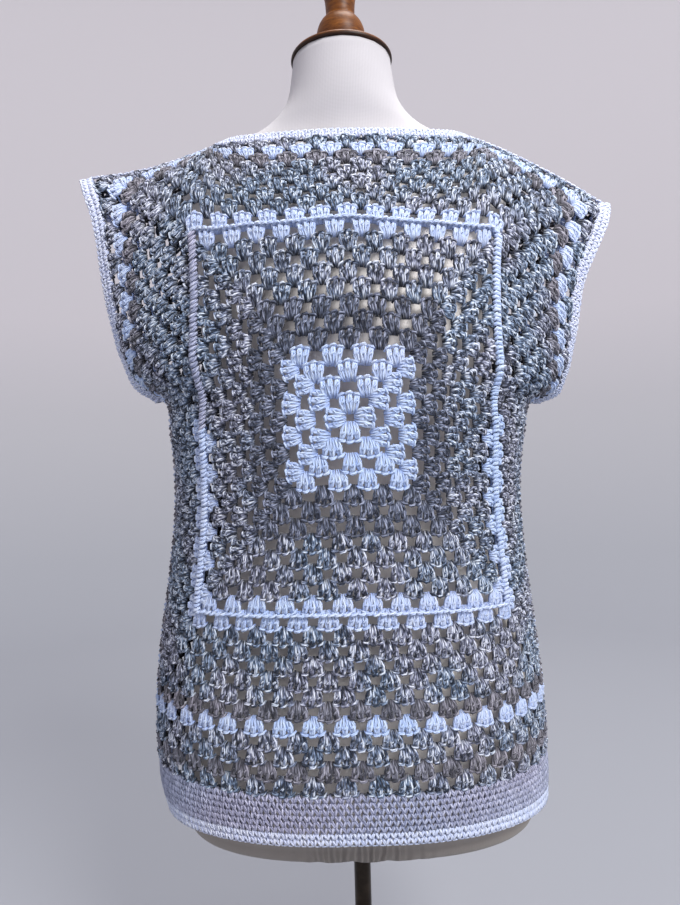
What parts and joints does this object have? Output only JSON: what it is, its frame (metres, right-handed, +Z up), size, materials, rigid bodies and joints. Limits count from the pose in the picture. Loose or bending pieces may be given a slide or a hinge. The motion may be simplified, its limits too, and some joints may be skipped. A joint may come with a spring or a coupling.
{
  "type": "short-sleeve granny-square sweater on a limbless dress form",
  "caption": "Crocheted granny-square sweater with a boat neck, cap sleeves and a plain hem band, worn by a limbless white dress form on a dark pole and a round foot.",
  "frame": {"origin": "middle of the stand's flat underside", "axes": "+Z up, -Y is the front, +X is the wearer's left"},
  "size_m": [0.5431, 0.32, 1.0814],
  "materials": {
    "granny_yarn": "crocheted yarn, blue-grey, mixed",
    "white_yarn": "crocheted yarn, cool white",
    "lilac_yarn": "crocheted yarn, lilac grey",
    "form_jersey": "smooth matt jersey",
    "turned_wood": "stained, satin varnish",
    "stand_metal": "near black, glossy"
  },
  "bodies": {
    "root": {"front_panel": "granny_yarn", "back_panel": "granny_yarn", "neck_edging": "white_yarn", "right_sleeve_edging": "white_yarn", "left_sleeve_edging": "white_yarn", "front_hem_band": "lilac_yarn", "back_hem_band": "lilac_yarn", "front_hem_edging": "white_yarn", "back_hem_edging": "white_yarn", "form_torso": "form_jersey", "neck_cap": "turned_wood", "finial": "turned_wood", "pole": "stand_metal", "stand_base": "stand_metal"}
  },
  "joints": []
}
